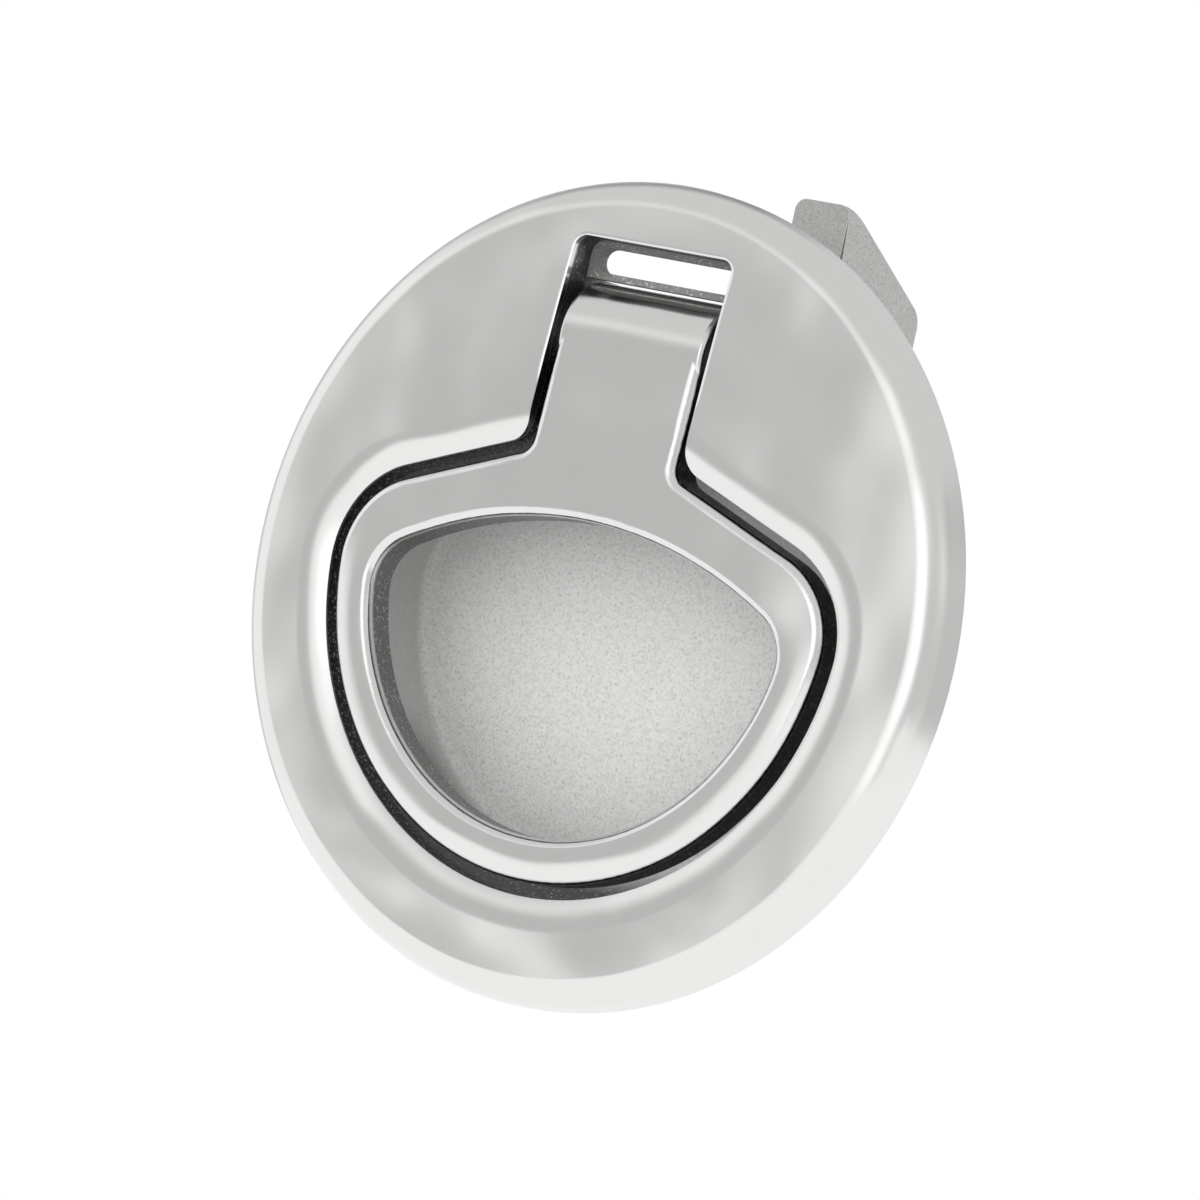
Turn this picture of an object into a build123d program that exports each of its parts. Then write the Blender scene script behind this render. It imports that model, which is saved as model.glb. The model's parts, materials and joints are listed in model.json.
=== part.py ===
from build123d import *
from math import asin, cos, degrees, pi, radians, sqrt, tan
import os

# Flush ring-pull slam latch in stainless steel, for a round hole in a panel.
# Frame, in millimetres: X to the right and Z up on the face, Y into the panel.
# The origin is the centre of the bezel's back face, which seats on the panel.

# Bezel: a shallow domed disc with a rolled rim and a keyhole opening
rim_radius = 30.5
rim_roll = 2.5                # round of the disc's outer edge
crown_height = 4.75           # face above the back plane at the centre
dome_radius = 278.0
rim_band = 7.9                # from the ring's opening to the rim
shoulder_drop = 9.9           # how far the shoulder lines would meet below the opening's circle
shoulder_slope = 20.0         # degrees below level
shoulder_corner = 7.8
peak_round = 12.0             # rounds the line where the shoulders meet, inside the slot
opening_roll = 5.0            # radius of the soft roll round the ring
opening_roll_width = 2.1      # how much of that roll is left outside the opening
blank_depth = 4.0             # extra thickness that the roll is made in
slot_half_width = 7.0
slot_margin = 5.0             # from the slot's top to the rim
slot_corner = 1.0
slot_foot_round = 2.0

# Seal in a groove round the bezel's back
seal_margin = 0.9             # from the rim
seal_width = 1.7
seal_thickness = 0.9

# Body casting behind the bezel: flange, spigot, cup and bolt tower
flange_inset = 3.7            # from the rim
flange_gap = 0.1
rim_overlap = 5.5             # how far the bezel covers the panel round the spigot
spigot_wall = 1.8
spigot_depth = 7.0
spigot_flat_margin = 0.1      # the spigot's flat lies this far above the barrel's pocket
cup_inset = 0.15              # the cup is this much wider than the bezel's opening
cup_wall = 1.6
cup_floor = 5.5
cup_floor_thickness = 1.5
cup_floor_round = 3.6
window_half_length = 6.3
window_height = 1.9
window_margin = 0.45          # from the window to the slot's top
window_strip = 0.5            # bar between the window and the barrel's pocket
barrel_gap = 0.15

# Pull handle: ring, stem and barrel
handle_gap = 1.05
handle_thickness = 2.85
face_sink = 0.1               # the handle's face lies this much below the bezel's
handle_round = 0.7
stem_foot_round = 1.3
ring_bar = 3.3                # width of the ring's curved bar
top_bar = 6.7                 # width of the bar under the stem
hole_top_radius = 34.0
hole_corner = 3.7
hole_round = 0.6
barrel_radius = 4.2
stem_gap = 0.65

# Pivot pin, washers and return spring
pin_radius = 1.25
pin_overhang = 2.5            # beyond each side of the slot
running_gap = 0.05
washer_radius = 2.5
washer_side_gap = 0.05
spring_pocket_from = 2.7
spring_pocket_to = 5.3
torsion_wire = 0.45
torsion_clearance = 0.2       # inside and outside the coil
torsion_turns = 3.5
torsion_arm = 2.6             # the leg that bears on the handle
torsion_anchor = 1.0          # how deep the other leg goes into the cup's floor
pin_front_gap = 0.1           # between the pin and the bezel's back, which holds it in

# Lift lever, keyed into the barrel
lever_half_width = 2.0
lever_side_gap = 0.05
lever_reach = 14.75           # pivot to the centre of its nose
lever_nose_radius = 1.5
lever_hub_radius = 2.5
lever_pin_radius = 0.5
lever_pin_offset = 3.1
lever_contact_gap = 0.2

# Bolt
bolt_half_width = 2.4
bolt_front = 17.0
bolt_depth = 12.9
bolt_tip = 32.7
bolt_ramp_end = 26.4
bolt_tip_land = 0.6
bolt_bottom = -0.5
bolt_heel_round = 1.8
bolt_top_round = 0.9
bolt_travel = 7.9
bolt_groove_top = 31.8
bolt_groove_foot = 15.0
bolt_groove_width = 1.8
bolt_groove_depth = 0.35
bolt_groove_from = 0.15
foot_length = 5.0
foot_height = 4.6
foot_chamfer = 1.5

# Bolt tower at the back of the body
bolt_gap = 0.15
tower_wall = 1.75
tower_top = 17.0
tower_floor = -11.0
tower_floor_thickness = 1.5
gusset_drop = 4.5
gusset_depth = 9.0
bridge_height = 1.5
bridge_depth = 3.0
lever_room = 0.6
bumper_thickness = 0.8
bumper_gap = 0.08
stop_pin_radius = 1.0
stop_pin_height = 8.0

# Bolt spring and its guide
bolt_spring_wire = 0.4
bolt_spring_radius = 1.3
bolt_spring_turns = 11
spring_bore_radius = 1.75
spring_bore_depth = 6.0
guide_radius = 0.9
guide_head_radius = 2.1
guide_head_thickness = 0.6
guide_top = -2.7
seat_gap = 0.05

# Rear cover, its screws and lock washers
cover_thickness = 1.2
cover_half_width = 6.4
cover_bottom = -12.5
cover_top = 15.6
cover_corner = 1.6
cover_screw_spread = 4.7
cover_screw_heights = (11.3, -9.4)
boss_radius = 1.9
boss_length = 6.0
small_screw_radius = 1.0
small_head_radius = 1.75
small_head_height = 0.9
lock_washer_thickness = 0.3
screw_bite = 4.0
screw_slack = 0.1

# Screws that hold the bezel to the body, in the corners between slot, shoulders and spigot
bezel_screw_place = 0.4325    # share of the way from the slot's wall to the spigot's
bezel_screw_lift = 0.7        # above the line where the shoulders would meet
bezel_screw_radius = 1.25
bezel_head_radius = 2.2
bezel_head_height = 1.3
bezel_screw_bite = 2.0

# Threaded bosses for the clamp bracket
clamp_boss_x = 13.5
clamp_boss_z = -3.0
clamp_boss_radius = 3.3
clamp_boss_length = 5.0
clamp_thread_radius = 1.65
clamp_thread_depth = 5.0

# Shapes that every screw head and pin end shares
head_round_share = 0.4        # of the head's height
socket_share = 0.5            # of the head's radius
socket_depth_share = 0.55     # of the head's height
end_chamfer_share = 0.2       # of the pin's radius
barrel_edge_round = 0.35

# How far a cut runs past a surface, and how near two places are the same place
past = 1.0
near = 0.01


# Sizes worked out from the ones above
ring_opening_radius = rim_radius - rim_band
shoulder_height = ring_opening_radius - shoulder_drop
slot_top = rim_radius - slot_margin
pivot_height = slot_top - window_margin - window_height - window_strip - barrel_gap - barrel_radius
seal_outer_radius = rim_radius - seal_margin
seal_inner_radius = seal_outer_radius - seal_width
flange_radius = rim_radius - flange_inset
spigot_radius = rim_radius - rim_overlap


def face_height(radius):
    """Height of the bezel's domed face above its back plane."""
    return crown_height - dome_radius + sqrt(dome_radius**2 - radius**2)


hole_radius = ring_opening_radius - handle_gap - ring_bar
hole_top = shoulder_height - handle_gap - top_bar
pivot_y = barrel_radius - face_height(pivot_height) + face_sink
flange_front = pivot_y - pin_radius - pin_front_gap
handle_back = handle_thickness - face_height(hole_radius)
pocket_top = pivot_height + barrel_radius + barrel_gap
spigot_flat = pocket_top + spigot_flat_margin
window_bottom = pocket_top + window_strip
slot_wall = slot_half_width + cup_inset + cup_wall
bezel_screw_x = slot_wall + bezel_screw_place * (spigot_radius - spigot_wall - slot_wall)
bezel_screw_z = shoulder_height + bezel_screw_lift
window_middle = window_bottom + window_height / 2
stem_half_width = slot_half_width - stem_gap
pin_end = slot_half_width + pin_overhang
pin_hole_radius = pin_radius + running_gap
channel_half_width = bolt_half_width + bolt_gap
channel_front = bolt_front - bolt_gap
bolt_back = bolt_front + bolt_depth
channel_back = bolt_back + bolt_gap
bolt_middle = bolt_front + bolt_depth / 2
tower_half_width = channel_half_width + tower_wall
nose_y = pivot_y + lever_reach
foot_top = pivot_height - lever_nose_radius - lever_contact_gap
cup_back = cup_floor + cup_floor_thickness
lever_top = pivot_height + lever_hub_radius - (lever_hub_radius - lever_nose_radius) * (
    (cup_back - pivot_y) / lever_reach)
bridge_bottom = lever_top + bumper_gap + bumper_thickness
bridge_top = bridge_bottom + bridge_height
foot_bottom = foot_top - foot_height
tower_bottom = tower_floor - tower_floor_thickness
torsion_radius = pin_radius + torsion_clearance + torsion_wire / 2
spring_pocket_radius = torsion_radius + torsion_wire / 2 + seat_gap
spring_seat = tower_floor + guide_head_thickness
bore_top = bolt_bottom + spring_bore_depth
screw_seat = channel_back + cover_thickness + lock_washer_thickness
pull_angle = degrees(asin(bolt_travel / lever_reach))


def slab(outline, front, back):
    """A prism of an outline drawn on the face, from depth front to depth back."""
    return extrude(Plane.XZ.offset(-back) * outline, amount=back - front, dir=(0, -1, 0))


def post(radius, x, z, front, back):
    """A round bar along Y."""
    return slab(Pos(x, z) * Circle(radius), front, back)


def side_slab(outline, left, right):
    """A prism of an outline drawn on the side view (Y, Z), from x left to x right."""
    return extrude(Plane.YZ.offset(left) * outline, amount=right - left, dir=(1, 0, 0))


def cross_bar(radius, y, z, left, right):
    """A round bar along X."""
    return side_slab(Pos(y, z) * Circle(radius), left, right)


def upright_bar(radius, y, bottom, top):
    """A round bar along Z, in the middle plane."""
    return extrude(Plane.XY.offset(bottom) * (Pos(0, y) * Circle(radius)), amount=top - bottom)


def block(x0, x1, y0, y1, z0, z1):
    """A rectangular block between two corners."""
    middle = Pos((x0 + x1) / 2, (y0 + y1) / 2, (z0 + z1) / 2)
    return middle * Box(x1 - x0, y1 - y0, z1 - z0)


def both_sides(make):
    """The piece that make draws at x > 0, and its mirror image."""
    piece = make()
    return piece + mirror(piece, Plane.YZ)


def dome(drop, back):
    """A disc under the domed face, lowered by drop, down to the depth back."""
    disc = post(rim_radius, 0, 0, -crown_height, back)
    return disc & (Pos(0, dome_radius - crown_height + drop, 0) * Sphere(dome_radius))


def ring_outline(inset):
    """Outline of the ring's opening: a disc under two sloping shoulders."""
    apex = shoulder_height - inset / cos(radians(shoulder_slope))
    span = 2 * ring_opening_radius
    fall = span * tan(radians(shoulder_slope))
    roof = Polygon((-span, apex - fall), (0, apex), (span, apex - fall), (span, -span),
                   (-span, -span), align=None)
    outline = Circle(ring_opening_radius - inset) & roof
    corners = outline.vertices().filter_by(lambda v: abs(v.X) > ring_opening_radius / 2)
    outline = fillet(corners, shoulder_corner - inset)
    peak = outline.vertices().sort_by(Axis.Y)[-1]
    return fillet(peak, peak_round)


def upright(half_width, top, corner):
    """The slot's or stem's outline, rounded at its top corners."""
    strip = Pos(0, top / 2) * Rectangle(2 * half_width, top)
    return fillet(strip.vertices().group_by(Axis.Y)[-1], corner)


def keyhole(inset, strip, foot_round):
    """The ring's outline joined to an upright strip, with rounded feet."""
    outline = ring_outline(inset) + strip
    half_width = strip.bounding_box().max.X
    feet = outline.vertices().filter_by(
        lambda v: abs(abs(v.X) - half_width) < near and v.Y < shoulder_height)
    return fillet(feet, foot_round)


def bezel_opening():
    """The whole opening in the bezel."""
    return keyhole(0, upright(slot_half_width, slot_top, slot_corner), slot_foot_round)


def finger_hole():
    """The hole in the ring: a round bottom under a gently arched top."""
    arch = Pos(0, hole_top - hole_top_radius) * Circle(hole_top_radius)
    outline = Circle(hole_radius) & arch
    return fillet(outline.vertices(), hole_corner)


def make_bezel():
    """The polished face plate. Its roll is made deep in a thick blank, then cut back."""
    blank = dome(0, blank_depth)
    inset = opening_roll - opening_roll_width
    blank -= slab(ring_outline(inset), -crown_height - past, blank_depth + past)
    face_edges = blank.edges().filter_by(lambda e: e.center().Y < 0)
    opening_edge = face_edges.filter_by(
        lambda e: sqrt(e.center().X**2 + e.center().Z**2) < ring_opening_radius)
    blank = fillet(opening_edge, opening_roll)
    bezel = blank - post(rim_radius + past, 0, 0, 0, blank_depth + past)
    outer_edge = bezel.edges().filter_by(
        lambda e: abs(e.center().Y + face_height(rim_radius)) < near
        and e.length > 2 * pi * rim_radius - near)
    bezel = fillet(outer_edge, rim_roll)
    bezel -= slab(bezel_opening(), -crown_height - past, past)
    bezel -= post(flange_radius + flange_gap, 0, 0, flange_front, past)
    bezel -= (post(seal_outer_radius, 0, 0, -seal_thickness, past)
              - post(seal_inner_radius, 0, 0, -seal_thickness - past, 2 * past))
    for x in (-bezel_screw_x, bezel_screw_x):
        bezel -= post(bezel_screw_radius, x, bezel_screw_z, flange_front - bezel_screw_bite, past)
    return bezel


def make_seal():
    """The rubber ring in the bezel's groove."""
    return (post(seal_outer_radius, 0, 0, -seal_thickness, 0)
            - post(seal_inner_radius, 0, 0, -seal_thickness, 0))


def cup_pocket():
    """The space inside the cup: round-bottomed under the ring, square in the slot."""
    bowl = slab(ring_outline(-cup_inset), flange_front - past, cup_floor)
    floor_edge = bowl.edges().filter_by(lambda e: abs(e.center().Y - cup_floor) < near)
    bowl = fillet(floor_edge, cup_floor_round)
    half_width = slot_half_width + cup_inset
    strip = Pos(0, pocket_top / 2) * Rectangle(2 * half_width, pocket_top)
    neck = slab(keyhole(-cup_inset, strip, slot_foot_round), flange_front - past,
                cup_floor - cup_floor_round)
    slot = slab(strip & (Pos(0, rim_radius + shoulder_height / 2) * Rectangle(2 * rim_radius, 2 * rim_radius)),
                flange_front - past, cup_floor)
    behind_ledge = block(-half_width, half_width, 0, cup_floor, pivot_height, rim_radius)
    return bowl + neck + slot + behind_ledge


def tower():
    """Side plates, channel and screw bosses that carry the bolt."""
    front = cup_floor + cup_floor_thickness / 2
    shape = Polygon((front, tower_bottom - gusset_drop), (front, bridge_top),
                    (cup_back + bridge_depth, bridge_top), (channel_front - tower_wall, tower_top),
                    (channel_back, tower_top), (channel_back, tower_bottom),
                    (cup_back + gusset_depth, tower_bottom), align=None)
    solid = side_slab(shape, -tower_half_width, tower_half_width)
    for x in (-cover_screw_spread, cover_screw_spread):
        for z in cover_screw_heights:
            solid += post(boss_radius, x, z, channel_back - boss_length, channel_back)
    return solid


def tower_hollows():
    """The bolt's channel, the lever's way in and the space between the side plates."""
    half = channel_half_width
    foot_low = foot_bottom - bolt_travel - lever_room
    channel = block(-half, half, channel_front, channel_back + past, tower_floor, tower_top + past)
    foot_way = block(-half, half, cup_back, channel_front + past, foot_low, bridge_bottom)
    above_foot = block(-half, half, cup_back + bridge_depth, channel_front + past, foot_low, rim_radius)
    between_plates = block(-half, half, cup_back, channel_front - tower_wall,
                           tower_bottom - gusset_drop - past, foot_low - tower_wall)
    sweep_low = pivot_height - (cup_back - pivot_y) * tan(radians(pull_angle)) - lever_hub_radius
    lever_way = block(-half, half, cup_floor - past, cup_back + past, sweep_low - lever_room, bridge_bottom)
    return channel + foot_way + above_foot + between_plates + lever_way


def make_body():
    """The cast body: flange, spigot ring, cup, ledge with its window, and bolt tower."""
    cup_outline = offset(keyhole(-cup_inset, upright(slot_half_width + cup_inset, slot_top, slot_corner),
                                 slot_foot_round), cup_wall)
    body = post(flange_radius, 0, 0, flange_front, 0)
    body += post(spigot_radius, 0, 0, flange_front, spigot_depth)
    body -= post(spigot_radius - spigot_wall, 0, 0, 0, spigot_depth + past)
    body += slab(cup_outline, flange_front, cup_back) & post(spigot_radius, 0, 0, flange_front, cup_back)
    body -= block(-rim_radius, rim_radius, 0, cup_back + past, spigot_flat, rim_radius)
    for x in (-clamp_boss_x, clamp_boss_x):
        body += post(clamp_boss_radius, x, clamp_boss_z, cup_floor, cup_back + clamp_boss_length)
    body += tower()
    body -= cup_pocket()
    body -= tower_hollows()
    body -= slab(Pos(0, window_middle) * SlotOverall(2 * window_half_length, window_height),
                 flange_front - past, past)
    for x in (-clamp_boss_x, clamp_boss_x):
        end = cup_back + clamp_boss_length
        body -= post(clamp_thread_radius, x, clamp_boss_z, end - clamp_thread_depth, end + past)
    for x in (-bezel_screw_x, bezel_screw_x):
        body -= post(bezel_screw_radius, x, bezel_screw_z, flange_front - past, past)
    for x in (-cover_screw_spread, cover_screw_spread):
        for z in cover_screw_heights:
            body -= post(small_screw_radius, x, z, channel_back - screw_bite, channel_back + past)
    body -= cross_bar(pin_hole_radius, pivot_y, pivot_height, -pin_end, pin_end)
    body -= block(-pin_end, pin_end, flange_front - past, pivot_y, pivot_height - pin_hole_radius,
                  pivot_height + pin_hole_radius)
    body -= post(torsion_wire / 2, spring_pocket_to - torsion_clearance - torsion_wire / 2,
                 pivot_height - torsion_radius, cup_floor - past, cup_floor + torsion_anchor)
    body -= cross_bar(stop_pin_radius, bolt_middle, stop_pin_height, -tower_half_width - past,
                      tower_half_width + past)
    body -= upright_bar(guide_radius, bolt_middle, tower_bottom - past, tower_floor + past)
    return body


def make_bezel_screws():
    """The two screws that pull the bezel onto the body."""
    def one():
        shank = post(bezel_screw_radius, bezel_screw_x, bezel_screw_z,
                     flange_front - bezel_screw_bite, 0)
        head = post(bezel_head_radius, bezel_screw_x, bezel_screw_z, 0, bezel_head_height)
        return screw_with_socket(shank, head, bezel_head_height, bezel_head_radius)
    return both_sides(one)


def screw_with_socket(shank, head, height, radius):
    """A pan head with a hexagonal socket, joined to its shank. It points to -Y."""
    back = head.faces().sort_by(Axis.Y)[-1]
    middle = back.center()
    head = fillet(back.edges(), height * head_round_share)
    hexagon = Pos(middle.X, middle.Z) * RegularPolygon(radius * socket_share, 6)
    socket = slab(hexagon, middle.Y - height * socket_depth_share, middle.Y + past)
    return head + shank - socket


def make_handle():
    """The pull handle: ring, stem and barrel in one polished casting."""
    stem = Pos(0, pivot_height / 2) * Rectangle(2 * stem_half_width, pivot_height)
    outline = keyhole(handle_gap, stem, stem_foot_round)
    handle = slab(outline, -crown_height - past, handle_back) & dome(face_sink, 0)
    front_edges = handle.edges().filter_by(
        lambda e: e.center().Y < handle_back - past and e.geom_type != GeomType.LINE)
    face_edges = front_edges.filter_by(lambda e: e.center().Z < pivot_height - near)
    handle = fillet(face_edges, handle_round)
    handle -= slab(finger_hole(), -crown_height - past, past)
    front_edges = handle.edges().filter_by(
        lambda e: e.center().Y < handle_back - past and e.geom_type != GeomType.LINE)
    hole_edges = front_edges.filter_by(
        lambda e: sqrt(e.center().X**2 + e.center().Z**2) < hole_radius + near
        and e.center().Z < hole_top + near)
    handle = fillet(hole_edges, hole_round)
    barrel = cross_bar(barrel_radius, pivot_y, pivot_height, -stem_half_width, stem_half_width)
    barrel = fillet(barrel.edges().filter_by(GeomType.CIRCLE), barrel_edge_round)
    handle += barrel
    handle -= cross_bar(pin_hole_radius, pivot_y, pivot_height, -slot_half_width, slot_half_width)
    side = lever_half_width + lever_side_gap
    room = lever_hub_radius + running_gap
    handle -= cross_bar(room, pivot_y, pivot_height, -side, side)
    handle -= block(-side, side, pivot_y, pivot_y + barrel_radius + past, pivot_height - room,
                    pivot_height + room)
    handle -= cross_bar(spring_pocket_radius, pivot_y, pivot_height, spring_pocket_from,
                        spring_pocket_to)
    handle -= block(spring_pocket_from, spring_pocket_to, pivot_y, pivot_y + barrel_radius + past,
                    pivot_height - spring_pocket_radius, pivot_height + spring_pocket_radius)
    handle -= cross_bar(lever_pin_radius, pivot_y + lever_pin_offset, pivot_height,
                        -slot_half_width, spring_pocket_from)
    return handle


def make_lift_lever():
    """The lever that pushes the bolt down, tapered from its hub to a round nose."""
    hub = Pos(pivot_y, pivot_height) * Circle(lever_hub_radius)
    nose = Pos(nose_y, pivot_height) * Circle(lever_nose_radius)
    arm = make_hull([hub.edges()[0], nose.edges()[0]])
    lever = side_slab(arm, -lever_half_width, lever_half_width)
    lever -= cross_bar(pin_hole_radius, pivot_y, pivot_height, -slot_half_width, slot_half_width)
    lever -= cross_bar(lever_pin_radius, pivot_y + lever_pin_offset, pivot_height,
                       -slot_half_width, slot_half_width)
    return lever


def make_lever_pin():
    """The pin that keys the lever to the barrel."""
    left = -stem_half_width + barrel_edge_round
    right = spring_pocket_from - running_gap
    return cross_bar(lever_pin_radius, pivot_y + lever_pin_offset, pivot_height, left, right)


def make_pivot_pin():
    """The plain pin that the handle turns on, chamfered at its ends."""
    pin = cross_bar(pin_radius, pivot_y, pivot_height, -pin_end, pin_end)
    return chamfer(pin.edges().filter_by(GeomType.CIRCLE), pin_radius * end_chamfer_share)


def make_pivot_washer(side):
    """A plastic washer between the barrel and one side of the slot."""
    inner = side * (stem_half_width + washer_side_gap)
    outer = side * (slot_half_width - washer_side_gap)
    left, right = min(inner, outer), max(inner, outer)
    return (cross_bar(washer_radius, pivot_y, pivot_height, left, right)
            - cross_bar(pin_hole_radius, pivot_y, pivot_height, left, right))


def make_handle_spring():
    """The torsion spring round the pin. One leg is held in the cup's floor, one lifts the handle."""
    room = torsion_clearance + torsion_wire / 2
    width = spring_pocket_to - spring_pocket_from - 2 * room
    coil = Pos(spring_pocket_to - room, pivot_y, pivot_height) * Rot(180, 0, 0) * Rot(
        0, -90, 0) * Helix(width / torsion_turns, width, torsion_radius)
    arm = Line(coil @ 1, coil @ 1 + Vector(0, torsion_arm, 0))
    anchor = Line(Vector((coil @ 0).X, cup_floor + torsion_anchor, (coil @ 0).Z), coil @ 0)
    section = Circle(torsion_wire / 2)
    return (sweep(Plane(coil @ 0, z_dir=coil % 0) * section, coil, is_frenet=True)
            + sweep(Plane(arm @ 0, z_dir=arm % 0) * section, arm)
            + sweep(Plane(anchor @ 0, z_dir=anchor % 0) * section, anchor))


def make_bumper():
    """The rubber pad under the bridge that the lever rests against."""
    return block(-lever_half_width, lever_half_width, cup_back, cup_back + bridge_depth,
                 bridge_bottom - bumper_thickness, bridge_bottom)


def make_bolt():
    """The slam bolt: ramped behind, flat in front, with a foot for the lever."""
    side_view = Polygon((bolt_front, bolt_bottom), (bolt_front, bolt_tip),
                        (bolt_front + bolt_tip_land, bolt_tip), (bolt_back, bolt_ramp_end),
                        (bolt_back, bolt_bottom), align=None)
    heel = side_view.vertices().filter_by(lambda v: abs(v.Y - bolt_ramp_end) < near)
    side_view = fillet(heel, bolt_heel_round)
    crest = side_view.vertices().filter_by(
        lambda v: abs(v.Y - bolt_tip) < near and v.X > bolt_front + near)
    side_view = fillet(crest, bolt_top_round)
    bolt = side_slab(side_view, -bolt_half_width, bolt_half_width)
    front_view = Pos(0, (bolt_tip + bolt_bottom) / 2) * Rectangle(2 * bolt_half_width,
                                                                  bolt_tip - bolt_bottom)
    front_view = fillet(front_view.vertices().group_by(Axis.Y)[-1], bolt_top_round)
    bolt &= slab(front_view, bolt_front - past, bolt_back + past)
    foot = Polygon((bolt_front + past, foot_bottom), (bolt_front + past, foot_top),
                   (bolt_front - foot_length, foot_top),
                   (bolt_front - foot_length, foot_bottom + foot_chamfer),
                   (bolt_front - foot_length + foot_chamfer, foot_bottom), align=None)
    bolt += side_slab(foot, -bolt_half_width, bolt_half_width)
    stop_room = stop_pin_radius + bolt_gap
    stop_slot = Pos(bolt_middle, stop_pin_height + bolt_travel / 2) * Rot(0, 0, 90) * SlotOverall(
        bolt_travel + 2 * stop_room, 2 * stop_room)
    bolt -= side_slab(stop_slot, -bolt_half_width, bolt_half_width)
    bolt -= upright_bar(spring_bore_radius, bolt_middle, bolt_bottom - past, bore_top)
    edge = bolt_front + bolt_groove_from
    groove = Polygon((edge, bolt_groove_top), (edge, bolt_groove_foot),
                     (edge + bolt_groove_width, bolt_groove_foot), align=None)
    inner = bolt_half_width - bolt_groove_depth
    bolt -= side_slab(groove, inner, bolt_half_width + past)
    bolt -= side_slab(groove, -bolt_half_width - past, -inner)
    return bolt


def make_stop_pin():
    """The cross pin that stops the bolt at the top of its travel."""
    return cross_bar(stop_pin_radius, bolt_middle, stop_pin_height, -tower_half_width,
                     tower_half_width)


def make_spring_guide():
    """The rod inside the bolt spring, riveted through the tower's floor."""
    rod = upright_bar(guide_radius, bolt_middle, tower_bottom - guide_head_thickness, guide_top)
    rod = chamfer(rod.edges().sort_by(Axis.Z)[-1], guide_radius / 3)
    seat = upright_bar(guide_head_radius, bolt_middle, tower_floor, spring_seat)
    rivet = upright_bar(guide_head_radius * 0.75, bolt_middle, tower_bottom - guide_head_thickness,
                        tower_bottom)
    rivet = fillet(rivet.edges().sort_by(Axis.Z)[0], guide_head_thickness * 0.7)
    return rod + seat + rivet


def make_bolt_spring():
    """The compression spring between the guide's seat and the bolt."""
    low = spring_seat + seat_gap + bolt_spring_wire / 2
    high = bore_top - seat_gap - bolt_spring_wire / 2
    coil = Pos(0, bolt_middle, low) * Helix((high - low) / bolt_spring_turns, high - low,
                                            bolt_spring_radius)
    section = Plane(coil @ 0, z_dir=coil % 0) * Circle(bolt_spring_wire / 2)
    return sweep(section, coil, is_frenet=True)


def make_rear_cover():
    """The plate that closes the back of the bolt's channel."""
    height = cover_top - cover_bottom
    outline = Pos(0, cover_bottom + height / 2) * RectangleRounded(2 * cover_half_width, height,
                                                                   cover_corner)
    plate = slab(outline, channel_back, channel_back + cover_thickness)
    for x in (-cover_screw_spread, cover_screw_spread):
        for z in cover_screw_heights:
            plate -= post(small_screw_radius + screw_slack, x, z, channel_back - past,
                          channel_back + cover_thickness + past)
    return plate


def make_cover_screws():
    """The four small screws of the rear cover."""
    def one(z):
        shank = post(small_screw_radius, cover_screw_spread, z, channel_back - screw_bite, screw_seat)
        head = post(small_head_radius, cover_screw_spread, z, screw_seat,
                    screw_seat + small_head_height)
        return screw_with_socket(shank, head, small_head_height, small_head_radius)
    right = one(cover_screw_heights[0]) + one(cover_screw_heights[1])
    return right + mirror(right, Plane.YZ)


def make_cover_washers():
    """The split lock washers under those screws."""
    rings = Part()
    front = screw_seat - lock_washer_thickness
    for x in (-cover_screw_spread, cover_screw_spread):
        for z in cover_screw_heights:
            ring = (post(small_head_radius, x, z, front, screw_seat)
                    - post(small_screw_radius + screw_slack, x, z, front - past, screw_seat + past))
            split = block(x - lock_washer_thickness / 2, x + lock_washer_thickness / 2, front - past,
                          screw_seat + past, z, z + small_head_radius + past)
            rings += ring - split
    return rings


parts = {
    "bezel": make_bezel(),
    "rim_seal": make_seal(),
    "body": make_body(),
    "bezel_screws": make_bezel_screws(),
    "pull_handle": make_handle(),
    "lift_lever": make_lift_lever(),
    "lever_pin": make_lever_pin(),
    "pivot_pin": make_pivot_pin(),
    "handle_spring": make_handle_spring(),
    "pivot_washer_left": make_pivot_washer(-1),
    "pivot_washer_right": make_pivot_washer(1),
    "lever_bumper": make_bumper(),
    "slam_bolt": make_bolt(),
    "bolt_stop_pin": make_stop_pin(),
    "spring_guide": make_spring_guide(),
    "bolt_spring": make_bolt_spring(),
    "rear_cover": make_rear_cover(),
    "cover_screws": make_cover_screws(),
    "cover_washers": make_cover_washers(),
}

os.makedirs("parts", exist_ok=True)
for name, solid in parts.items():
    export_step(solid, f"parts/{name}.step")
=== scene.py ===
import json
import math

import bpy
from mathutils import Matrix, Vector


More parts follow.
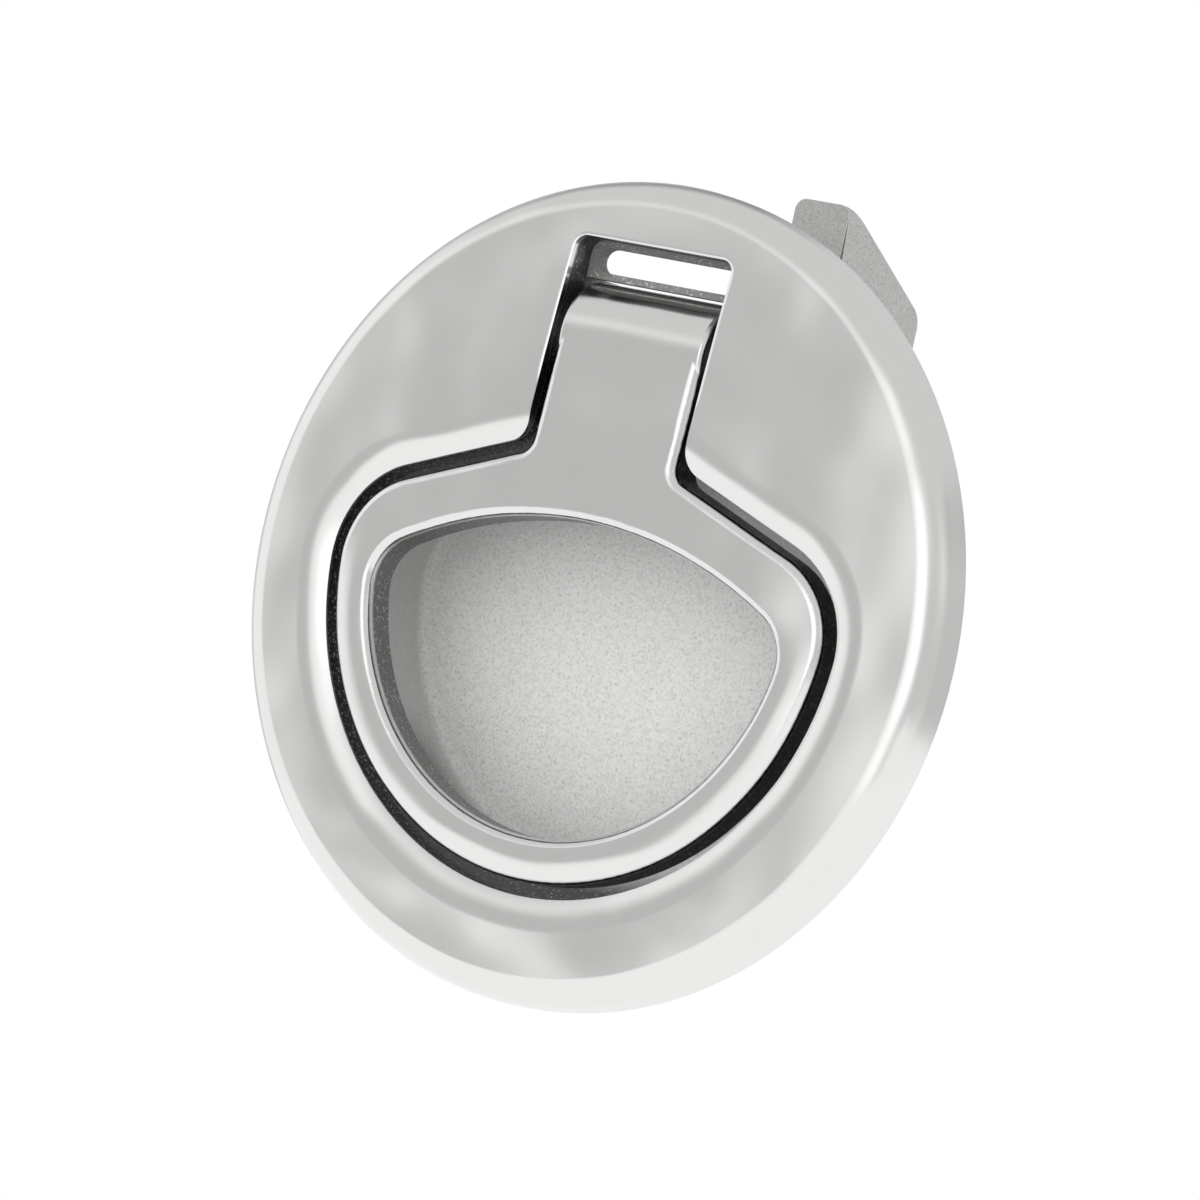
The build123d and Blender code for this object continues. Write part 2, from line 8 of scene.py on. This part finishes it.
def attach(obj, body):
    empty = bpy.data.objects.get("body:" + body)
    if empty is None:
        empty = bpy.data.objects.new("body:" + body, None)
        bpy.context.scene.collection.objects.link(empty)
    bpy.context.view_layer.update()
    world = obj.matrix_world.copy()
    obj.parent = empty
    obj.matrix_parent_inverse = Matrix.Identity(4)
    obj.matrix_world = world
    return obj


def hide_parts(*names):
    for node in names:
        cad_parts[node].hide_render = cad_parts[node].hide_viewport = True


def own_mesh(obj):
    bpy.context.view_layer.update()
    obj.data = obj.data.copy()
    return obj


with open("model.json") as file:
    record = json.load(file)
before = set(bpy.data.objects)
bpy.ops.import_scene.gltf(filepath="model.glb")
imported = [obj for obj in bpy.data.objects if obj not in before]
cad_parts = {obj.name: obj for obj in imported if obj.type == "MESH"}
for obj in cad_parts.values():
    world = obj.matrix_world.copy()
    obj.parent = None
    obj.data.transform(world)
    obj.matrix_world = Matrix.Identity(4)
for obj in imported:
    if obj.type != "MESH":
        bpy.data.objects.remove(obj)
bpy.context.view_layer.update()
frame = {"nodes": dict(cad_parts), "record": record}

# The photograph's viewing angle and scale
CAMERA_AZIMUTH = 34.2
CAMERA_ELEVATION = -0.7
CAMERA_ROLL = 12.8
CAMERA_DISTANCE = 0.51
PHOTO_WIDTH = 1200
PIXELS_PER_MM = 13.708
ORIGIN_PIXEL = (604.0, 596.2)
SENSOR = 36.0
MM_PER_METRE = 1000

# The polished face, in metres: its dome, rim, ring opening and handle, as in the part
DOME_RADIUS = 0.278
CROWN_HEIGHT = 0.00475
RIM_ROLL = 0.0025
RIM_ROLL_START = 0.028
RIM_LEAN_LIMIT = 0.95         # the rim's steepest lean, where it turns out of sight
RIM_INNER = 0.0265            # inside this radius are the walls of opening and slot
RING_OPENING = 0.0226
SHOULDER_HEIGHT = 0.0127
SHOULDER_SLOPE = 20.0
SHOULDER_CORNER = 0.0078
OPENING_ROLL = 0.005
ROLL_WIDTH = 0.00245
SLOT_HALF_WIDTH = 0.007
SLOT_TOP = 0.0255
SLOT_CORNER = 0.001
SLOT_EDGE = 0.0003            # how wide the slot's edge is worn
SLOT_EDGE_ROLL = 0.0006       # and to what radius
SLOT_EDGE_START = (0.0135, 0.016)
HANDLE_GAP = 0.00105
STEM_HALF_WIDTH = 0.00635
HOLE_RADIUS = 0.01825
CROWN_FULL = -0.006           # the ring is crowned in full below this height
CROWN_END = 0.002             # and flat above this one
RING_CROWN = 0.0017           # half of the ring's bar, over which it falls to each edge
CROWN_FALL = 0.14             # the slope at that edge
BARREL_START = 0.0165
SMALLEST_RADIUS = 0.0001      # keeps a division at the centre finite

# How alike the mesh's face and the exact dome must be for the exact direction to be used
BEZEL_LIKENESS = 0.4
HANDLE_LIKENESS = 0.9988
ABOVE_ALL = 1.0

# Steel, and where the polished pieces turn dull and are painted dark as the shade in their gaps
STEEL = (0.80, 0.797, 0.79, 1)
# Near-black steel, painted where the walls lie in the gap's shade
GAP_SHADE_STEEL = (0.04, 0.04, 0.04, 1)
OPENING_WALL = 0.0006         # how far below the face the opening's walls turn dull and are painted dark as shade
SLOT_WALL = 0.00025           # and the slot's
WALL_BLEND = 0.0004
SLOT_FOOT = (0.014, 0.018)
# The painted gap shade eases a little towards the top of the slot
SLOT_SHADE_FADE = (0.012, 0.02)
SLOT_SHADE_EASE = 0.15
SPECK_RANGE = (0.58, 0.7)     # the noise that shows as bare specks in the dull, shade-painted steel
SPECK_SHARE = 0.45
# How strongly the gap's shade is painted on the handle's walls
HANDLE_SHADE_STRENGTH = 0.78

# Hand polish: the size of its waves, cloudiness, specks and brushed lines, per metre
WAVE_SCALE = 90.0
WAVE_DEPTH = 0.00055
CLOUD_SCALE = 400.0
SPECK_SCALE = 5000.0
BRUSHING = (300.0, 300.0, 9000.0)
BRUSHING_DEPTH = 0.00002
BRUSHING_STRENGTH = 0.03

# The casting behind the face, in metres
CUP_FLOOR = 0.0057            # a little past the cup's floor
CUP_WALL = 0.0235             # the middle of the cup's wall
OPENING_MARGIN = 0.0009       # the cup's wall lies this far outside the ring opening
SLOT_WALL_MIDDLE = 0.0079
SLOT_WALL_START = 0.01
# The painted shade on the ledge beside the slot eases towards its top
LEDGE_START = (0.0195, 0.0215)
LEDGE_SHADE_EASE = 0.2
CUP_EDGE = 0.0216             # past this the cup's foot is seen only through the gap, and is painted dark as shade
CUP_EDGE_FADE = 0.0016
CUP_FOOT = (-0.017, -0.01)
PATCH_SCALE = 180.0
PIT_RANGE = (0.28, 0.5)
PIT_SHADE = 0.55              # worn metal, as a share of the bright metal
BARE_SHARE = 0.7
CORNER_TILT = (0.94, 0.995)   # the cosines between which a face counts as a rounded corner

# The bolt
WELD_DISTANCE = 1e-6
SMOOTH_ANGLE = 40

# The studio: the floor, and white round about with a grey doorway before the polished face
FLOOR_SIZE = 4
FLOOR_LEVEL = -0.6
FLOOR_PAINT = (0.85, 0.85, 0.85, 1)
FLOOR_GLOW = 1.07
FLOOR_GLOW_SHARE = 0.85
LAMP_LEVEL = 1.15
SURROUND_LEVEL = 1.02
DOORWAY_DEPTH = 0.44
DOORWAY_CENTRE = -0.56
DOORWAY_SIDES = (0.11, 0.28)
DOORWAY_FOOT = (-0.25, -0.17)
DOORWAY_HEAD = (0.12, 0.5)
DOORWAY_FRONT = (-0.5, -0.2)
CEILING_DEPTH = 0.3
CEILING_START = (0.3, 0.6)
# Soft panels: towards, inner and outer angle in degrees, and brightness added
PANELS = (((0.14, -0.99, 0.1), 4, 24, 0.35),
          ((0.95, 0.3, 0), 5, 45, -0.4),
          ((0.75, -0.66, 0), 8, 38, -0.35),
          ((-0.6, 0.8, 0.2), 10, 50, -0.45),
          ((0.1, 0.7, -0.7), 10, 50, -0.4))


class Value:
    """A node's output. Sums written with it add the Math nodes."""

    def __init__(self, tree, socket):
        self.tree = tree
        self.socket = socket

    def math(self, operation, *others):
        node = self.tree.nodes.new("ShaderNodeMath")
        node.operation = operation
        for place, item in zip(node.inputs, (self, *others)):
            join(self.tree, item, place)
        return Value(self.tree, node.outputs[0])

    def __add__(self, other):
        return self.math("ADD", other)

    def __radd__(self, other):
        return self.math("ADD", other)

    def __sub__(self, other):
        return self.math("SUBTRACT", other)

    def __rsub__(self, other):
        return wrap(self.tree, other).math("SUBTRACT", self)

    def __mul__(self, other):
        return self.math("MULTIPLY", other)

    def __rmul__(self, other):
        return self.math("MULTIPLY", other)

    def __neg__(self):
        return self.math("MULTIPLY", -1.0)

    def __truediv__(self, other):
        return self.math("DIVIDE", other)

    def __pow__(self, other):
        return self.math("POWER", other)


def wrap(tree, number):
    """A plain number as a Value, for the left side of a sum."""
    node = tree.nodes.new("ShaderNodeValue")
    node.outputs[0].default_value = number
    return Value(tree, node.outputs[0])


def join(tree, item, place):
    """Links a Value to a socket, or sets the socket's own number."""
    if isinstance(item, Value):
        tree.links.new(item.socket, place)
    else:
        place.default_value = item


class Finish:
    """A material or world whose nodes are added by one method."""

    def __init__(self, tree):
        self.tree = tree
        tree.nodes.clear()

    def add(self, kind, settings=None, inputs=None, output=0):
        node = self.tree.nodes.new(kind)
        for name, setting in (settings or {}).items():
            setattr(node, name, setting)
        for name, item in (inputs or {}).items():
            join(self.tree, item, node.inputs[name])
        return Value(self.tree, node.outputs[output]) if node.outputs else None


def new_finish(name):
    material = bpy.data.materials.new(name)
    material.use_nodes = True
    return material, Finish(material.node_tree)


def end_finish(finish, shader):
    finish.add("ShaderNodeOutputMaterial", None, {"Surface": shader})


def rising(finish, value, between, end=1.0):
    """Runs smoothly from 0 to end while value goes from one number to the other."""
    return finish.add("ShaderNodeMapRange", {"interpolation_type": "SMOOTHSTEP"}, {
        "Value": value, "From Min": between[0], "From Max": between[1],
        "To Min": 0.0, "To Max": end})


def falling(finish, value, between):
    """Runs smoothly from 1 to 0 while value goes from one number to the other."""
    return finish.add("ShaderNodeMapRange", {"interpolation_type": "SMOOTHSTEP"}, {
        "Value": value, "From Min": between[0], "From Max": between[1],
        "To Min": 1.0, "To Max": 0.0})


def noise(finish, place, scale, detail, **more):
    """A noise pattern, with its scale per metre."""
    return finish.add("ShaderNodeTexNoise", None, {
        "Vector": place, "Scale": scale, "Detail": detail, **more})


def position(finish):
    """The place on the piece, with its three coordinates in metres."""
    place = finish.add("ShaderNodeTexCoord", output=3)
    split = [finish.add("ShaderNodeSeparateXYZ", None, {0: place}, output=axis)
             for axis in range(3)]
    return place, split


def blend(finish, factor, first, second):
    """A colour between two others."""
    return finish.add("ShaderNodeMix", {"data_type": "RGBA"}, {
        "Factor": factor, 6: first, 7: second}, output=2)


def ring_distance(x, z, radius):
    """How far a place lies outside the round opening with its two sloping shoulders."""
    slope = math.radians(SHOULDER_SLOPE)
    lean = (math.sin(slope), math.cos(slope))
    level = SHOULDER_HEIGHT * lean[1]
    reach = RING_OPENING - SHOULDER_CORNER
    turn = math.pi / 2 - slope - math.acos((level - SHOULDER_CORNER) / reach)
    start = (math.cos(turn), math.sin(turn))
    side = x.math("ABSOLUTE")
    across = side - reach * start[0]
    along = z - reach * start[1]
    round_part = radius - RING_OPENING
    shoulder_part = side * lean[0] + z * lean[1] - level
    corner_part = (across * across + along * along) ** 0.5 - SHOULDER_CORNER
    above = (along * start[0] - across * start[1]).math("GREATER_THAN", 0.0)
    beside = (across * lean[1] - along * lean[0]).math("GREATER_THAN", 0.0)
    upper = shoulder_part + beside * (corner_part - shoulder_part)
    return round_part + above * (upper - round_part)


def domed_normal(finish, x, z, radius, likeness, top):
    """The direction of the domed face, exact where the mesh's own shading is coarse."""
    lean = radius / DOME_RADIUS
    lean = lean.math("MAXIMUM", (radius - RIM_ROLL_START) / RIM_ROLL)
    lean = lean.math("MINIMUM", RIM_LEAN_LIMIT)
    outward = lean / radius.math("MAXIMUM", SMALLEST_RADIUS)
    forward = (1 - lean * lean) ** 0.5
    exact = finish.add("ShaderNodeCombineXYZ", None, {
        0: x * outward, 1: -forward, 2: z * outward})
    exact = finish.add("ShaderNodeVectorTransform", {
        "vector_type": "NORMAL", "convert_from": "OBJECT", "convert_to": "WORLD"}, {0: exact})
    flat = finish.add("ShaderNodeNewGeometry", output=3)
    facing = finish.add("ShaderNodeVectorMath", {"operation": "DOT_PRODUCT"},
                        {0: flat, 1: exact}, output=1)
    front = facing.math("GREATER_THAN", likeness) * z.math("LESS_THAN", top)
    own = finish.add("ShaderNodeNewGeometry", output=1)
    return finish.add("ShaderNodeMix", {"data_type": "VECTOR"}, {
        "Factor": front, 4: own, 5: exact}, output=1)


def polished_steel(name, wall_shade, form, likeness, top):
    """Hand-polished stainless: faint waves, brushing and cloudiness, dull and painted dark as shade
    down in the gap.
    """
    material, finish = new_finish(name)
    place, (x, y, z) = position(finish)
    radius = (x * x + z * z) ** 0.5
    edge = ring_distance(x, z, radius)
    below_face = y - radius * radius / (2 * DOME_RADIUS) + CROWN_HEIGHT
    below_face = below_face + rising(finish, z, SLOT_FOOT) * (OPENING_WALL - SLOT_WALL)
    specks = rising(finish, noise(finish, place, SPECK_SCALE, 1.0), SPECK_RANGE)
    # Painted shade: below the face the walls are painted near black, with bare specks, and made
    # rougher
    dull_and_shaded = (wall_shade(finish, edge, x, z, radius) * (1 - SPECK_SHARE * specks)
            * rising(finish, below_face, (OPENING_WALL, OPENING_WALL + WALL_BLEND)))
    normal = domed_normal(finish, x, z, radius, likeness, top)
    normal = finish.add("ShaderNodeBump", None, {
        "Strength": 1.0, "Distance": 1.0, "Height": form(finish, edge, x, z, radius),
        "Normal": normal})
    normal = finish.add("ShaderNodeBump", None, {
        "Strength": 1.0, "Distance": WAVE_DEPTH,
        "Height": noise(finish, place, WAVE_SCALE, 1.0), "Normal": normal})
    cloud = noise(finish, place, CLOUD_SCALE, 3.0)
    lines = finish.add("ShaderNodeMapping", None, {"Vector": place, "Scale": BRUSHING})
    grain = noise(finish, lines, 1.0, 2.0)
    normal = finish.add("ShaderNodeBump", None, {
        "Strength": BRUSHING_STRENGTH, "Distance": BRUSHING_DEPTH,
        "Height": grain, "Normal": normal})
    shader = finish.add("ShaderNodeBsdfPrincipled", None, {
        "Base Color": blend(finish, dull_and_shaded, STEEL, GAP_SHADE_STEEL), "Metallic": 1.0,
        "Roughness": 0.11 + 0.06 * cloud + 0.04 * grain + 0.3 * dull_and_shaded, "Normal": normal})
    end_finish(finish, shader)
    return material


# A wall-shade function says where a polished piece is dull and painted dark as the shade in its
# gap, and a form function is the height that its shading adds. Both are given the same values, and
# use what they need.

def bezel_wall_shade(finish, edge, x, z, radius):
    """Painted shade on every wall inside the bezel's face, where it also turns dull; painted a
    little lighter in the slot.
    """
    slot = rising(finish, z, SLOT_SHADE_FADE)
    return radius.math("LESS_THAN", RIM_INNER) * (1 - SLOT_SHADE_EASE * slot)


def bezel_form(finish, edge, x, z, radius):
    """The soft roll that falls away towards the ring, and the slot's worn edge."""
    fall = (ROLL_WIDTH - edge).math("MAXIMUM", 0.0)
    roll = 0.5 / OPENING_ROLL * (fall * fall)
    across = (x.math("ABSOLUTE") - (SLOT_HALF_WIDTH - SLOT_CORNER)).math("MAXIMUM", 0.0)
    along = (z - (SLOT_TOP - SLOT_CORNER)).math("MAXIMUM", 0.0)
    beside = (across * across + along * along) ** 0.5 - SLOT_CORNER
    fall = (SLOT_EDGE - beside).math("MAXIMUM", 0.0).math("MINIMUM", SLOT_EDGE)
    worn = 0.5 / SLOT_EDGE_ROLL * (fall * fall) * rising(finish, z, SLOT_EDGE_START)
    return -(roll + worn)


def handle_wall_shade(finish, edge, x, z, radius):
    """Painted shade on the walls of ring, stem and finger hole, where they also turn dull."""
    low = z.math("LESS_THAN", SHOULDER_HEIGHT)
    outside = low * edge.math("GREATER_THAN", -HANDLE_GAP - WALL_BLEND)
    stem = z.math("GREATER_THAN", SHOULDER_HEIGHT / 2) * x.math("ABSOLUTE").math(
        "GREATER_THAN", STEM_HALF_WIDTH - WALL_BLEND)
    hole = radius.math("LESS_THAN", HOLE_RADIUS + WALL_BLEND)
    return outside.math("MAXIMUM", stem).math("MAXIMUM", hole) * HANDLE_SHADE_STRENGTH


def handle_form(finish, edge, x, z, radius):
    """The ring's crown: its bar falls away a little towards both edges, and not under the stem."""
    outer = (RING_CROWN + edge + HANDLE_GAP).math("MAXIMUM", 0.0)
    inner = (RING_CROWN - (radius - HOLE_RADIUS)).math("MAXIMUM", 0.0)
    bar = falling(finish, z, (CROWN_FULL, CROWN_END))
    return -CROWN_FALL / RING_CROWN * bar * (outer * outer + inner * inner)


def cast_steel(name, bright, dark, metal, roughness, grain_size, grain_depth,
               shaded_depths=(-1.0, -0.9), corner_shade=0.0, outside_shade=0.0):
    """Blasted casting: grain on bright metal; painted dark as shade, with bare specks, between two
    depths of its opening.
    """
    material, finish = new_finish(name)
    place, (x, y, z) = position(finish)
    cells = finish.add("ShaderNodeTexVoronoi", None, {
        "Vector": place, "Scale": 1 / grain_size}, output=1)
    flecks = finish.add("ShaderNodeSeparateColor", None, {0: cells}) ** 0.5
    grit = noise(finish, place, 1 / grain_size, 2.0, Roughness=0.6)
    patches = noise(finish, place, PATCH_SCALE, 2.0)
    radius = (x * x + z * z) ** 0.5

    # Painted shade: the opening is painted dark between two depths, round the cup's foot and along
    # the ledge, with bare specks in it
    in_ring = ring_distance(x, z, radius).math("LESS_THAN", OPENING_MARGIN)
    in_slot = x.math("ABSOLUTE").math("LESS_THAN", SLOT_WALL_MIDDLE) \
        * z.math("GREATER_THAN", SLOT_WALL_START)
    in_front = y.math("LESS_THAN", CUP_FLOOR)
    foot_shade = (rising(finish, radius, (CUP_EDGE - CUP_EDGE_FADE, CUP_EDGE))
            * falling(finish, z, CUP_FOOT) * in_front)
    ledge_shade = 1 - LEDGE_SHADE_EASE * rising(finish, z, LEDGE_START)
    # Here scale is the strength of the painted shade
    scale = (ledge_shade * falling(finish, y, shaded_depths)).math("MAXIMUM", foot_shade)
    scale = in_ring.math("MAXIMUM", in_slot) * scale \
        * (1 - BARE_SHARE * rising(finish, grit, SPECK_RANGE))

    facing = finish.add("ShaderNodeTexCoord", output=1)
    facing = finish.add("ShaderNodeSeparateXYZ", None, {0: facing}, output=1).math("ABSOLUTE")
    corner = corner_shade * falling(finish, facing, CORNER_TILT)
    outside = 1 - in_front * radius.math("LESS_THAN", CUP_WALL)
    light = flecks * 0.35 + rising(finish, grit, PIT_RANGE) * 0.5 + patches * 0.15
    worn = tuple(PIT_SHADE * part for part in bright[:3]) + (1,)
    clean = blend(finish, light * (1 - corner) * (1 - outside_shade * outside), worn, bright)
    bump = finish.add("ShaderNodeBump", None, {
        "Strength": 1.0, "Distance": grain_depth, "Height": grit})
    shader = finish.add("ShaderNodeBsdfPrincipled", None, {
        "Base Color": blend(finish, scale, clean, dark), "Metallic": metal,
        "Roughness": roughness + 0.15 * patches, "Normal": bump})
    end_finish(finish, shader)
    return material


def plain_finish(name, colour, metallic, roughness):
    """A small piece's finish, with faint unevenness."""
    material, finish = new_finish(name)
    place = finish.add("ShaderNodeTexCoord", output=3)
    cloud = noise(finish, place, 500.0, 3.0)
    shader = finish.add("ShaderNodeBsdfPrincipled", None, {
        "Base Color": tuple(colour) + (1,), "Metallic": metallic,
        "Roughness": roughness + 0.12 * cloud})
    end_finish(finish, shader)
    return material


finishes = {
    "polished_steel": polished_steel(
        "polished_steel", bezel_wall_shade, bezel_form, BEZEL_LIKENESS, ABOVE_ALL),
    "cast_steel": cast_steel(
        # dark is the colour of the painted shade, laid between the depths given after it
        "cast_steel", bright=(1.0, 0.997, 0.985, 1), dark=(0.13, 0.125, 0.12, 1),
        metal=0.05, roughness=0.55, grain_size=0.00022, grain_depth=0.00006,
        shaded_depths=(0.0018, 0.0034), corner_shade=0.8, outside_shade=0.8),
    "bolt_steel": cast_steel(
        "bolt_steel", bright=(0.6, 0.6, 0.59, 1), dark=(0.3, 0.3, 0.3, 1),
        metal=0.7, roughness=0.5, grain_size=0.0002, grain_depth=0.00003),
    "lever_steel": cast_steel(
        "lever_steel", bright=(0.55, 0.55, 0.54, 1), dark=(0.3, 0.3, 0.3, 1),
        metal=0.7, roughness=0.5, grain_size=0.0002, grain_depth=0.00003),
}
# Small pieces: colour, metallic and roughness
for name, look in {
        "pin_steel": ((0.65, 0.65, 0.65), 1.0, 0.2),
        "spring_steel": ((0.6, 0.6, 0.59), 1.0, 0.3),
        "screw_steel": ((0.65, 0.65, 0.64), 1.0, 0.25),
        "plate_steel": ((0.62, 0.62, 0.61), 1.0, 0.35),
        "washer_plastic": ((0.8, 0.79, 0.75), 0.0, 0.4),
        "seal_rubber": ((0.02, 0.02, 0.02), 0.0, 0.55),
        "bumper_rubber": ((0.03, 0.03, 0.03), 0.0, 0.6)}.items():
    finishes[name] = plain_finish(name, *look)

for part in frame["record"]["subparts"]:
    for slot in frame["nodes"][part["node"]].material_slots:
        slot.material = finishes[part["material_slot"]]
ring_finish = polished_steel(
    "polished_ring", handle_wall_shade, handle_form, HANDLE_LIKENESS, BARREL_START)
for slot in frame["nodes"]["pull_handle"].material_slots:
    slot.material = ring_finish

# The bolt's spring is a coil standing on its seat
coil = bpy.data.objects.new("bolt_coil", frame["nodes"]["bolt_spring"].data.copy())
bpy.context.scene.collection.objects.link(coil)
bpy.ops.object.select_all(action="DESELECT")
bpy.context.view_layer.objects.active = coil
coil.select_set(True)
bpy.ops.object.mode_set(mode="EDIT")
bpy.ops.mesh.select_all(action="SELECT")
bpy.ops.mesh.remove_doubles(threshold=WELD_DISTANCE)
bpy.ops.object.mode_set(mode="OBJECT")
bpy.ops.object.shade_smooth_by_angle(angle=math.radians(SMOOTH_ANGLE))
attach(coil, "housing")
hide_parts("bolt_spring")
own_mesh(coil)

# Floor, light and background
bpy.ops.object.select_all(action="DESELECT")
bpy.ops.mesh.primitive_plane_add(size=FLOOR_SIZE, location=(0, 0, FLOOR_LEVEL))
floor = bpy.context.object
floor.name = "studio_floor"
material, finish = new_finish("studio_floor")
seen = finish.add("ShaderNodeLightPath", output=0)
mirrored = finish.add("ShaderNodeLightPath", output=3)
paint = finish.add("ShaderNodeBsdfDiffuse", None, {"Color": FLOOR_PAINT})
glow = finish.add("ShaderNodeEmission", None, {"Color": (1, 1, 1, 1), "Strength": FLOOR_GLOW})
end_finish(finish, finish.add("ShaderNodeMixShader", None, {
    0: seen.math("MAXIMUM", mirrored) * FLOOR_GLOW_SHARE, 1: paint, 2: glow}))
floor.data.materials.append(material)

world = bpy.data.worlds.new("studio")
bpy.context.scene.world = world
world.use_nodes = True
studio = Finish(world.node_tree)
seen = studio.add("ShaderNodeLightPath", output=0)
mirrored = studio.add("ShaderNodeLightPath", output=3)
direction = studio.add("ShaderNodeTexCoord", output=0)


def soft_panel(towards, inner, outer, strength):
    """A soft round panel in the studio's surround, as an added brightness."""
    facing = studio.add("ShaderNodeVectorMath", {"operation": "DOT_PRODUCT"},
                        {0: direction, 1: tuple(Vector(towards).normalized())}, output=1)
    edges = (math.cos(math.radians(outer)), math.cos(math.radians(inner)))
    return rising(studio, facing, edges, strength)


across, depth, height = (studio.add("ShaderNodeSeparateXYZ", None, {0: direction}, output=axis)
                         for axis in range(3))
doorway = (falling(studio, (across - DOORWAY_CENTRE).math("ABSOLUTE"), DOORWAY_SIDES)
           * rising(studio, height, DOORWAY_FOOT)
           * falling(studio, height, DOORWAY_HEAD)
           * falling(studio, depth, DOORWAY_FRONT))
ceiling = rising(studio, height, CEILING_START)
surround = SURROUND_LEVEL - DOORWAY_DEPTH * doorway - CEILING_DEPTH * ceiling
for panel in PANELS:
    surround = surround + soft_panel(*panel)
light = studio.add("ShaderNodeBackground", None, {
    "Color": (1, 1, 1, 1), "Strength": LAMP_LEVEL + mirrored * (surround - LAMP_LEVEL)})
white = studio.add("ShaderNodeBackground", None, {"Color": (1, 1, 1, 1), "Strength": 1.0})
backdrop = studio.add("ShaderNodeMixShader", None, {0: seen, 1: light, 2: white})
studio.add("ShaderNodeOutputWorld", None, {"Surface": backdrop})

# Camera
azimuth, elevation, roll = map(math.radians, (CAMERA_AZIMUTH, CAMERA_ELEVATION, CAMERA_ROLL))
towards_camera = Vector((math.cos(elevation) * math.sin(azimuth),
                         -math.cos(elevation) * math.cos(azimuth), math.sin(elevation)))
level = Vector((math.cos(azimuth), math.sin(azimuth), 0))
upright = towards_camera.cross(level)
right = level * math.cos(roll) + upright * math.sin(roll)
up = upright * math.cos(roll) - level * math.sin(roll)
target = (right * (PHOTO_WIDTH / 2 - ORIGIN_PIXEL[0])
          + up * (ORIGIN_PIXEL[1] - PHOTO_WIDTH / 2)) / (PIXELS_PER_MM * MM_PER_METRE)
camera_data = bpy.data.cameras.new("camera")
camera = bpy.data.objects.new("camera", camera_data)
bpy.context.scene.collection.objects.link(camera)
turn = Matrix((right, up, towards_camera)).transposed().to_4x4()
camera.matrix_world = Matrix.Translation(target + towards_camera * CAMERA_DISTANCE) @ turn
camera_data.sensor_width = SENSOR
camera_data.lens = SENSOR * CAMERA_DISTANCE * MM_PER_METRE / (PHOTO_WIDTH / PIXELS_PER_MM)
camera_data.clip_start = 0.01
camera_data.clip_end = 20
bpy.context.scene.camera = camera
bpy.context.scene.view_settings.view_transform = "Standard"
